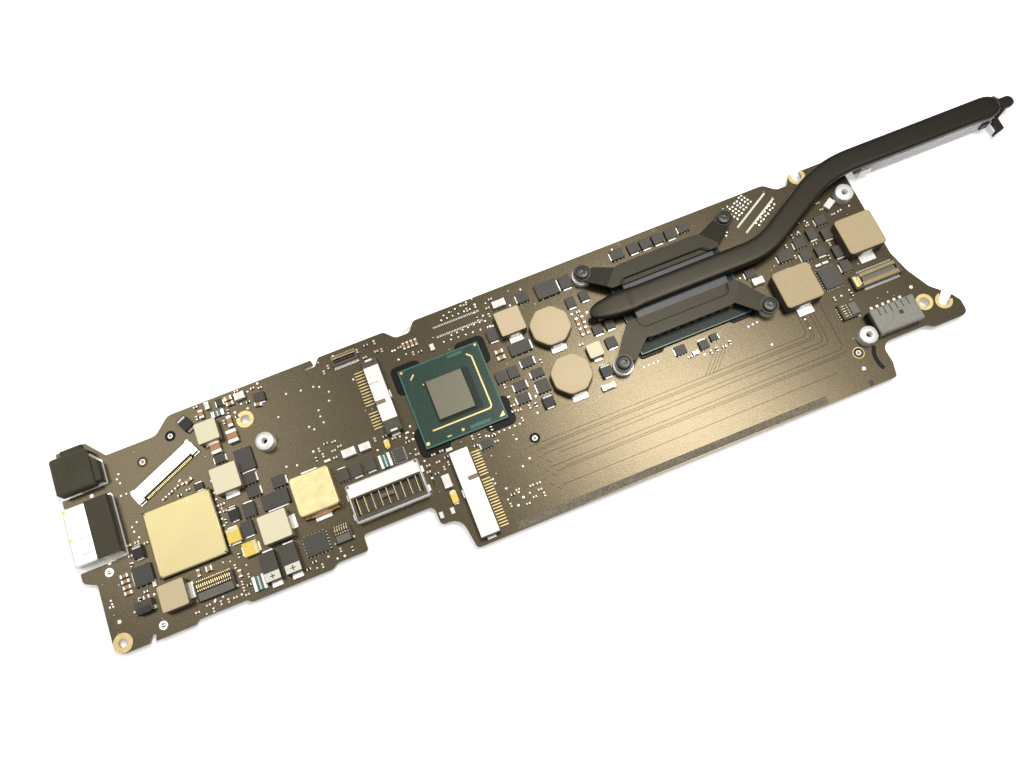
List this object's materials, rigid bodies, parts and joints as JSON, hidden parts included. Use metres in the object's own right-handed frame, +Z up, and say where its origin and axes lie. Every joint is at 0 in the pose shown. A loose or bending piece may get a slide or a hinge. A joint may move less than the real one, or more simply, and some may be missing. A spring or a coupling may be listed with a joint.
{
  "type": "laptop logic board with heat-pipe cooler",
  "caption": "Long dark laptop logic board with ports, card sockets, flip-latch cable sockets and chips, and a black heat-pipe cooler that ends in a fin stack.",
  "frame": {"origin": "centre of the bounding box on the plane that the board assembly rests on", "axes": "+X along the board from the ports towards the fin stack, +Y towards the edge that the heat pipe leaves by, +Z up out of the component side"},
  "size_m": [0.2718, 0.0624, 0.0072],
  "materials": {
    "board_mask": "satin dark solder mask over fibreglass laminate",
    "steel": "bright tin-plated steel",
    "lid_metal": "warm nickel-silver, fine matt grain",
    "black_plastic": "black moulded liquid-crystal polymer",
    "grey_plastic": "dark grey moulded polymer",
    "mould_compound": "matt epoxy moulding compound",
    "tan_ferrite": "tan pressed-powder inductor body",
    "pale_ferrite": "pale pressed-powder inductor body",
    "gold_foil": "crinkled gold-coloured foil",
    "green_substrate": "glossy blue-green package laminate",
    "silicon": "ground grey silicon",
    "black_coated_metal": "satin black coating on copper and steel",
    "bare_aluminium": "bare thin fins",
    "black_foam": "conductive black foam gasket"
  },
  "bodies": {
    "board": {"backlight_socket_housing": "black_plastic", "battery_socket_body": "grey_plastic", "battery_socket_shell": "steel", "chipset_die": "silicon", "chipset_package": "green_substrate", "circuit_board": "board_mask", "cold_plate": "black_coated_metal", "cooler_post_1": "steel", "cooler_post_2": "steel", "cooler_post_3": "steel", "cooler_post_4": "steel", "cooler_screw_1": "black_coated_metal", "cooler_screw_2": "black_coated_metal", "cooler_screw_3": "black_coated_metal", "cooler_screw_4": "black_coated_metal", "display_socket_body": "black_plastic", "display_socket_cover": "steel", "fan_post": "steel", "fan_socket_housing": "black_plastic", "fin_bracket": "black_coated_metal", "fin_stack": "bare_aluminium", "heat_pipe": "black_coated_metal", "inductor_backlight": "pale_ferrite", "inductor_charger": "pale_ferrite", "inductor_core_1": "tan_ferrite", "inductor_core_2": "tan_ferrite", "inductor_display": "pale_ferrite", "inductor_foil": "gold_foil", "inductor_memory": "tan_ferrite", "inductor_port": "tan_ferrite", "inductor_processor_1": "tan_ferrite", "inductor_processor_2": "tan_ferrite", "io_data_socket": "black_plastic", "io_power_socket": "grey_plastic", "keypad_socket_housing": "black_plastic", "memory_chip_1": "mould_compound", "memory_chip_2": "mould_compound", "memory_chip_3": "mould_compound", "memory_chip_4": "mould_compound", "port_controller_chip": "mould_compound", "processor_die": "silicon", "processor_package": "green_substrate", "shield_fence": "steel", "shield_lid": "lid_metal", "spring_bracket_far": "black_coated_metal", "spring_bracket_near": "black_coated_metal", "storage_card_post": "steel", "storage_socket_body": "black_plastic", "storage_socket_cover": "steel", "usb_shell": "steel", "usb_tongue": "grey_plastic", "video_port_foam": "black_foam", "video_port_shell": "steel", "video_port_tongue": "black_plastic", "wireless_card_post": "steel", "wireless_socket_body": "black_plastic", "wireless_socket_cover": "steel"},
    "keypad_latch": {"keypad_socket_latch": "grey_plastic"},
    "backlight_latch": {"backlight_socket_latch": "grey_plastic"},
    "fan_latch": {"fan_socket_latch": "grey_plastic"}
  },
  "joints": [
    {"name": "keypad_latch_flip", "type": "hinge", "parent": "board", "child": "keypad_latch", "pos_m": [-0.10565, -0.01629, 0.0033], "axis": [-1, 0, 0], "range_deg": [0, 90]},
    {"name": "backlight_latch_flip", "type": "hinge", "parent": "board", "child": "backlight_latch", "pos_m": [-0.07305, -0.01595, 0.0033], "axis": [-1, 0, 0], "range_deg": [0, 90]},
    {"name": "fan_latch_flip", "type": "hinge", "parent": "board", "child": "fan_latch", "pos_m": [0.06693, -0.0109, 0.0033], "axis": [0, -1, 0], "range_deg": [0, 90]}
  ]
}
